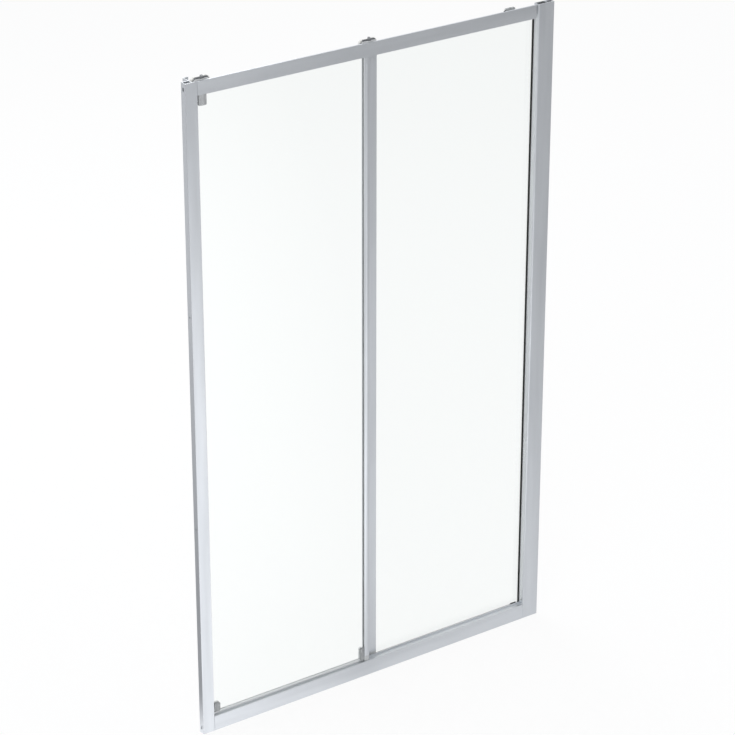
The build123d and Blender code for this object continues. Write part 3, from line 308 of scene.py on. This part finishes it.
def extrudeOutline(shape, outline, along, start, end):
    # along 2 draws the outline in X and Y and runs upwards, along 0 draws it in Y and Z
    def place(u, v, w):
        return (u, v, w) if along == 2 else (w, u, v)
    ring = [shape.verts.new(place(u, v, start)) for u, v in outline]
    foot = shape.faces.new(ring)
    grown = bmesh.ops.extrude_face_region(shape, geom=[foot])["geom"]
    moved = [item for item in grown if isinstance(item, bmesh.types.BMVert)]
    bmesh.ops.translate(shape, verts=moved, vec=Vector(place(0.0, 0.0, end - start)))


def roundEdges(shape, edges, radius, segments=2):
    bmesh.ops.bevel(shape, geom=edges, offset=radius, offset_type="OFFSET", segments=segments,
                    profile=0.5, affect="EDGES", clamp_overlap=True, material=-1)


def softenEdges(shape, along, radius, segments=2):
    def runs(edge):
        way = edge.verts[1].co - edge.verts[0].co
        return abs(way[along]) > 0.9 * way.length
    roundEdges(shape, [edge for edge in shape.edges if runs(edge)], radius, segments)


def finishPiece(shape, name, material, body, node):
    bmesh.ops.recalc_face_normals(shape, faces=shape.faces)
    mesh = bpy.data.meshes.new(name)
    shape.to_mesh(mesh)
    shape.free()
    mesh.materials.append(material)
    piece = bpy.data.objects.new(name, mesh)
    scene.collection.objects.link(piece)
    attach(piece, body)
    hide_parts(node)
    return piece


# extruded glazing gasket: a U round the edge of a pane, with lips that pinch in at its mouth
gasketLook = {"web": 1.2 * mm, "lipRun": 1.6 * mm, "lipPinch": 0.35 * mm, "touch": 0.04 * mm,
              "softness": 0.18 * mm, "trackLip": 0.5 * mm, "fixedStileLip": 0.7 * mm,
              "doorStileLipFront": 1.7 * mm, "doorStileLipBack": 1.6 * mm}


def gasketOutline(edge, mouth, front, back, glassFront, glassBack, lipFront, lipBack):
    look = gasketLook
    side = 1.0 if edge > mouth else -1.0  # which way the U closes
    neck = mouth + side * look["lipRun"]
    web = edge - side * look["web"]
    inFront = glassFront - look["touch"]
    inBack = glassBack + look["touch"]
    return [(mouth, front + lipFront), (neck, front + lipFront), (neck, front), (edge, front),
            (edge, back), (neck, back), (neck, back - lipBack), (mouth, back - lipBack),
            (mouth, inBack), (neck, inBack + look["lipPinch"]), (web, inBack),
            (web, inFront), (neck, inFront - look["lipPinch"]), (mouth, inFront)]


def makeStileGasket(node, pane, body, mouthLow, lipFront, lipBack):
    low, high = corners(node)
    paneLow, paneHigh = corners(pane)
    edge, mouth = (high.x, low.x) if mouthLow else (low.x, high.x)
    shape = bmesh.new()
    extrudeOutline(shape, gasketOutline(edge, mouth, low.y, high.y, paneLow.y, paneHigh.y, lipFront, lipBack),
                   2, low.z, high.z)
    softenEdges(shape, 2, gasketLook["softness"])
    return finishPiece(shape, node + "_formed", vinylGrey, body, node)


def makeTrackGasket():
    low, high = corners("track_gasket")
    paneLow, paneHigh = corners("fixed_glass")
    lip = gasketLook["trackLip"]
    outline = gasketOutline(high.z, low.z, low.y, high.y, paneLow.y, paneHigh.y, lip, lip)
    shape = bmesh.new()
    extrudeOutline(shape, [(v, u) for u, v in outline], 0, low.x, high.x)
    softenEdges(shape, 0, gasketLook["softness"])
    return finishPiece(shape, "track_gasket_formed", blackRubberRail, "frame", "track_gasket")


# black gasket of the right jamb: a bulb that shows beside the reveal, and a flat strip behind the pane
jambGasketLook = {"bulbRound": 1.5 * mm, "stripNose": 0.9 * mm, "touch": 0.04 * mm, "softness": 0.5 * mm}


def makeJambGasket():
    look = jambGasketLook
    low, high = corners("jamb_gasket")
    paneLow, paneHigh = corners("fixed_glass")
    lip = corners("right_glazing_profile")[0].x + look["touch"]
    face = paneLow.y - look["touch"]
    roundness = look["bulbRound"]
    front = [(low.x + roundness, low.y), (high.x, low.y), (high.x, face),
             (low.x + roundness * 1.4, face), (low.x + roundness * 0.3, face - roundness * 0.4),
             (low.x, face - roundness * 1.5), (low.x + roundness * 0.2, low.y + roundness)]
    nose = look["stripNose"]
    inner = paneHigh.y + look["touch"]
    rear = [(lip + nose, high.y), (high.x, high.y), (high.x, inner), (lip, inner), (lip, high.y - nose)]
    shape = bmesh.new()
    for outline in (front, rear):
        extrudeOutline(shape, outline, 2, low.z, high.z)
    softenEdges(shape, 2, look["softness"], 3)
    return finishPiece(shape, "jamb_gasket_formed", blackRubber, "frame", "jamb_gasket")


# two strips pressed in beside the foot of the fixed pane, each with a lip over the channel's edge
railGasketLook = {"lean": 0.5 * mm, "lipDrop": 1.6 * mm, "touch": 0.04 * mm, "softness": 0.25 * mm,
                  "rearTop": 41.6 * mm}


def makeRailGasket():
    look = railGasketLook
    low, high = corners("rail_gasket")
    paneLow, paneHigh = corners("fixed_glass")
    rearTop = corners("bottom_rail")[0].z + look["rearTop"]  # level with the rear lip of the sill
    shape = bmesh.new()
    for outer, inner, top in ((low.y, paneLow.y - look["touch"], high.z),
                              (high.y, paneHigh.y + look["touch"], rearTop)):
        lean = look["lean"] if inner > outer else -look["lean"]
        outline = [(outer + lean, low.z), (inner - lean, low.z), (inner, low.z + look["lipDrop"]),
                   (inner, top), (outer + lean, top), (outer, top - look["lipDrop"] / 2),
                   (outer, top - look["lipDrop"]), (outer + lean, top - 2 * look["lipDrop"])]
        extrudeOutline(shape, outline, 0, low.x, high.x)
    softenEdges(shape, 0, look["softness"])
    return finishPiece(shape, "rail_gasket_formed", blackRubberRail, "frame", "rail_gasket")


# magnetic seal of the leading edge: a rounded nose that holds the magnet, and two legs on the pane
magnetSealLook = {"noseRound": 1.1 * mm, "legRoot": 0.85 * mm, "legTip": 0.5 * mm, "legEase": 0.1 * mm,
                  "paneGap": 0.05 * mm, "softness": 0.3 * mm}


def makeMagnetSeal():
    look = magnetSealLook
    low, high = corners("magnet_seal")
    paneEdge = corners("door_glass")[0].x - look["paneGap"]
    nose, root, tip = look["noseRound"], look["legRoot"], look["legTip"]
    outline = [(low.x, low.y + nose), (low.x + nose, low.y), (high.x, low.y + root - tip - look["legEase"]),
               (high.x, low.y + root), (paneEdge, low.y + root), (paneEdge, high.y - root),
               (high.x, high.y - root), (high.x, high.y - root + tip), (low.x + nose, high.y),
               (low.x, high.y - nose)]
    shape = bmesh.new()
    extrudeOutline(shape, outline, 2, low.z, high.z)
    softenEdges(shape, 2, look["softness"])
    return finishPiece(shape, "magnet_seal_formed", vinylUpright, "door", "magnet_seal")


# drip seal: a shallow clip under the pane with a soft lip that trails on the ledge
dripSealLook = {"legRoot": 0.85 * mm, "legTip": 0.5 * mm, "base": 1.2 * mm, "lipRoot": 0.9 * mm,
                "lipTip": 0.3 * mm, "lipSweep": 0.7 * mm, "paneGap": 0.05 * mm, "softness": 0.2 * mm}


def makeDripSeal():
    look = dripSealLook
    low, high = corners("drip_seal")
    paneFoot = corners("door_glass")[0].z - look["paneGap"]
    middle = (low.y + high.y) / 2
    base = paneFoot - look["base"]
    root, tip = look["legRoot"], look["legTip"]
    sweep = middle - look["lipSweep"]
    outline = [(low.y + root - tip, high.z), (low.y + root, high.z), (low.y + root, paneFoot),
               (high.y - root, paneFoot), (high.y - root, high.z), (high.y - root + tip, high.z),
               (high.y, base), (middle + look["lipRoot"], base), (sweep + look["lipTip"], low.z),
               (sweep - look["lipTip"], low.z), (middle - look["lipRoot"], base), (low.y, base)]
    shape = bmesh.new()
    extrudeOutline(shape, outline, 0, low.x, high.x)
    softenEdges(shape, 0, look["softness"])
    return finishPiece(shape, "drip_seal_formed", vinylRail, "door", "drip_seal")


# overlap brush: a flat backing strip with a row of woven pile tufts
brushLook = {"backing": 0.9 * mm, "tuftStep": 3.6 * mm, "tuftWide": 1.25 * mm, "tuftTip": 0.7 * mm,
             "rows": 2, "rowGap": 0.9 * mm, "softness": 0.2 * mm}


def makeOverlapBrush():
    look = brushLook
    low, high = corners("overlap_brush")
    middle = (low.x + high.x) / 2
    shape = bmesh.new()
    foot = low.y + look["backing"]
    extrudeOutline(shape, [(low.x, low.y), (high.x, low.y), (high.x, foot), (low.x, foot)], 2, low.z, high.z)
    softenEdges(shape, 2, look["softness"])
    length = high.y - foot
    count = int((high.z - low.z) / look["tuftStep"]) - 1
    lay = Matrix.Rotation(math.radians(-90), 4, "X")
    for row in range(look["rows"]):
        across = middle + (row - 0.5) * look["rowGap"]
        for number in range(count):
            height = low.z + (number + 0.75 + 0.5 * row) * look["tuftStep"]
            place = Matrix.Translation((across, foot + length / 2, height)) @ lay
            bmesh.ops.create_cone(shape, cap_ends=True, segments=6, radius1=look["tuftWide"] / 2,
                                  radius2=look["tuftTip"] / 2, depth=length, matrix=place)
    return finishPiece(shape, "overlap_brush_formed", pileYarn, "door", "overlap_brush")


# rubber blocks under the fixed pane, the wedge at its lower corner and the bumper of the stop
blockLook = {"length": 60.0 * mm, "roundness": 0.6 * mm, "wedgeSlope": 1.2 * mm, "wedgeRound": 0.3 * mm,
             "bumperRound": 1.6 * mm}


def makeSettingBlocks():
    look = blockLook
    low, high = corners("setting_blocks")
    shape = bmesh.new()
    for start in (low.x, high.x - look["length"]):
        centre = Vector((start + look["length"] / 2, (low.y + high.y) / 2, (low.z + high.z) / 2))
        size = Matrix.Diagonal((look["length"], high.y - low.y, high.z - low.z, 1.0))
        bmesh.ops.create_cube(shape, size=1.0, matrix=Matrix.Translation(centre) @ size)
    roundEdges(shape, shape.edges[:], look["roundness"])
    return finishPiece(shape, "setting_blocks_formed", blackRubberRail, "frame", "setting_blocks")


def makeGlassWedge():
    low, high = corners("glass_wedge")
    slope = blockLook["wedgeSlope"]
    outline = [(low.y, low.z), (high.y, low.z), (high.y, high.z), (low.y + slope, high.z),
               (low.y, high.z - slope)]
    shape = bmesh.new()
    extrudeOutline(shape, outline, 0, low.x, high.x)
    roundEdges(shape, shape.edges[:], blockLook["wedgeRound"])
    return finishPiece(shape, "glass_wedge_formed", blackRubberRail, "frame", "glass_wedge")


def makeStopBumper():
    low, high = corners("stop_bumper")
    middle = (low + high) / 2
    radius = (high.z - low.z) / 2
    shape = bmesh.new()
    bmesh.ops.create_cone(shape, cap_ends=True, segments=40, radius1=radius, radius2=radius,
                          depth=high.x - low.x,
                          matrix=Matrix.Translation(middle) @ Matrix.Rotation(math.radians(90), 4, "Y"))
    nose = [edge for edge in shape.edges if all(abs(vert.co.x - low.x) < 1e-6 for vert in edge.verts)]
    roundEdges(shape, nose, blockLook["bumperRound"], 5)
    return finishPiece(shape, "stop_bumper_formed", blackRubber, "frame", "stop_bumper")


makeStileGasket("fixed_stile_gasket", "fixed_glass", "frame", False,
                gasketLook["fixedStileLip"], gasketLook["fixedStileLip"])
makeStileGasket("door_stile_gasket", "door_glass", "door", True,
                gasketLook["doorStileLipFront"], gasketLook["doorStileLipBack"])
makeTrackGasket()
makeJambGasket()
makeRailGasket()
makeMagnetSeal()
makeDripSeal()
makeOverlapBrush()
makeSettingBlocks()
makeGlassWedge()
makeStopBumper()
print("seals, gaskets and rubber pieces made")

# floor, world, lamps and camera: what the metal mirrors is a floor that fades away from its front,
# with a bright patch to the left and a dimmer part behind, and a room that is dimmer to the front right
stageLook = {"floorSize": 60.0, "floorTint": "#F4F4F3", "shadowShare": 0.12,
             "alongWay": (0.51, -0.86, 0.0), "frontBright": 0.85, "frontDim": 0.33, "frontFade": (0.8, 4.7),
             "acrossWay": (0.86, 0.51, 0.0), "patchCentre": (-0.75, 2.7, 0.0), "patchReach": (0.85, 5.0, 1.0),
             "patchBright": 1.5,
             "rearDim": 0.28, "rearBright": 0.7, "rearFade": (0.4, 3.2), "rearBlend": (0.0, 0.15),
             "sheenTint": "#FBFCFF",
             "roomTint": "#E8EAEE", "roomBright": 1.12, "roomDim": 0.6,
             "dimSide": (0.57, -0.82, 0.0), "roomFade": (-0.2, 1.0)}
cameraLook = {"lens": 138.76, "sensor": 36.0, "reach": 100.0, "place": (-4.11109, -5.89288, 4.38186),
              "turn": ((0.82117, 0.24407, -0.51586), (-0.57069, 0.35119, -0.74228), (0.0, 0.90394, 0.42767))}


def addSeenShare(tree):
    # 1 for what the camera sees directly or through glass
    path = addNode(tree, "ShaderNodeLightPath")
    seen = addNode(tree, "ShaderNodeMath", {"operation": "MAXIMUM"},
                   links={0: path.outputs["Is Camera Ray"], 1: path.outputs["Is Transmission Ray"]})
    return path, seen.outputs[0]


def makeFloor(look):
    mesh = bpy.data.meshes.new("floor")
    shape = bmesh.new()
    bmesh.ops.create_grid(shape, x_segments=2, y_segments=2, size=look["floorSize"] / 2)
    shape.to_mesh(mesh)
    shape.free()
    floor = bpy.data.objects.new("floor", mesh)
    scene.collection.objects.link(floor)
    material = bpy.data.materials.new("pale_floor")
    material.use_nodes = True
    tree = material.node_tree
    tree.nodes.clear()
    path, seen = addSeenShare(tree)
    spot = addNode(tree, "ShaderNodeTexCoord").outputs["Object"]
    across = addNode(tree, "ShaderNodeVectorMath", {"operation": "DOT_PRODUCT"},
                     {1: look["acrossWay"]}, {0: spot}).outputs["Value"]
    along = addNode(tree, "ShaderNodeVectorMath", {"operation": "DOT_PRODUCT"},
                    {1: look["alongWay"]}, {0: spot}).outputs["Value"]
    depth = addNode(tree, "ShaderNodeSeparateXYZ", links={"Vector": spot}).outputs["Y"]
    fade = spreadValue(tree, along, look["frontBright"], look["frontDim"], *look["frontFade"])
    flat = addNode(tree, "ShaderNodeCombineXYZ", links={"X": across, "Y": along}).outputs["Vector"]
    offset = addNode(tree, "ShaderNodeVectorMath", {"operation": "SUBTRACT"},
                     {1: look["patchCentre"]}, {0: flat}).outputs["Vector"]
    scaled = addNode(tree, "ShaderNodeVectorMath", {"operation": "DIVIDE"},
                     {1: look["patchReach"]}, {0: offset}).outputs["Vector"]
    away = addNode(tree, "ShaderNodeVectorMath", {"operation": "LENGTH"}, None, {0: scaled}).outputs["Value"]
    patch = spreadValue(tree, away, look["patchBright"], 0.0, 0.0, 1.0)
    front = addNode(tree, "ShaderNodeMath", {"operation": "ADD"}, links={0: fade, 1: patch}).outputs["Value"]
    behind = spreadValue(tree, depth, look["rearDim"], look["rearBright"], *look["rearFade"])
    isBehind = spreadValue(tree, depth, 0.0, 1.0, *look["rearBlend"])
    pool = addNode(tree, "ShaderNodeMix", {"data_type": "FLOAT"}, None,
                   {"Factor": isBehind, "A": front, "B": behind}).outputs["Result"]
    paint = addNode(tree, "ShaderNodeBsdfDiffuse", values={"Color": tint(look["floorTint"])})
    glow = addNode(tree, "ShaderNodeEmission", values={"Color": (1, 1, 1, 1), "Strength": 1.0})
    sheen = addNode(tree, "ShaderNodeEmission", values={"Color": tint(look["sheenTint"])},
                    links={"Strength": pool})
    share = addNode(tree, "ShaderNodeMath", {"operation": "MULTIPLY"}, {1: 1.0 - look["shadowShare"]},
                    {0: seen})
    lit = addNode(tree, "ShaderNodeMixShader", links={
        0: share.outputs[0], 1: paint.outputs["BSDF"], 2: glow.outputs["Emission"]})
    mirrored = addNode(tree, "ShaderNodeMath", {"operation": "SUBTRACT", "use_clamp": True},
                       links={0: path.outputs["Is Glossy Ray"], 1: seen})
    both = addNode(tree, "ShaderNodeMixShader", links={
        0: mirrored.outputs[0], 1: lit.outputs["Shader"], 2: sheen.outputs["Emission"]})
    addNode(tree, "ShaderNodeOutputMaterial", links={"Surface": both.outputs["Shader"]})
    mesh.materials.append(material)
    return floor


def makeWorld(look):
    world = bpy.data.worlds.new("soft_room")
    scene.world = world
    world.use_nodes = True
    tree = world.node_tree
    tree.nodes.clear()
    seen = addSeenShare(tree)[1]
    way = addNode(tree, "ShaderNodeTexCoord").outputs["Generated"]
    facing = addNode(tree, "ShaderNodeVectorMath", {"operation": "DOT_PRODUCT"}, {1: look["dimSide"]}, {0: way})
    level = spreadValue(tree, facing.outputs["Value"], look["roomBright"], look["roomDim"], *look["roomFade"])
    room = addNode(tree, "ShaderNodeBackground", values={"Color": tint(look["roomTint"])},
                   links={"Strength": level})
    white = addNode(tree, "ShaderNodeBackground", values={"Color": (1, 1, 1, 1), "Strength": 1.0})
    both = addNode(tree, "ShaderNodeMixShader", links={
        0: seen, 1: room.outputs["Background"], 2: white.outputs["Background"]})
    addNode(tree, "ShaderNodeOutputWorld", links={"Surface": both.outputs["Shader"]})


def addLamp(name, place, target, size, power):
    lamp = bpy.data.lights.new(name, "AREA")
    lamp.shape = "DISK"
    lamp.size = size
    lamp.energy = power
    holder = bpy.data.objects.new(name, lamp)
    scene.collection.objects.link(holder)
    holder.location = place
    holder.rotation_euler = (Vector(target) - Vector(place)).to_track_quat("-Z", "Y").to_euler()
    return holder


def addCamera(look):
    camera = bpy.data.cameras.new("photo_view")
    camera.lens = look["lens"]
    camera.sensor_width = look["sensor"]
    camera.clip_end = look["reach"]
    holder = bpy.data.objects.new("photo_view", camera)
    scene.collection.objects.link(holder)
    holder.matrix_world = Matrix.Translation(look["place"]) @ Matrix(look["turn"]).to_4x4()
    scene.camera = holder


makeFloor(stageLook)
makeWorld(stageLook)
addLamp("key_softbox", place=(-3.6, -3.6, 4.6), target=(0.0, 0.0, 1.0), size=3.0, power=90.0)
addLamp("fill_softbox", place=(4.0, -2.4, 3.0), target=(0.0, 0.0, 1.0), size=3.0, power=25.0)
addLamp("back_softbox", place=(0.5, 4.0, 4.0), target=(0.0, 0.0, 1.0), size=3.0, power=60.0)
addCamera(cameraLook)
scene.view_settings.view_transform = "Standard"
print("stage, lamps and camera set")
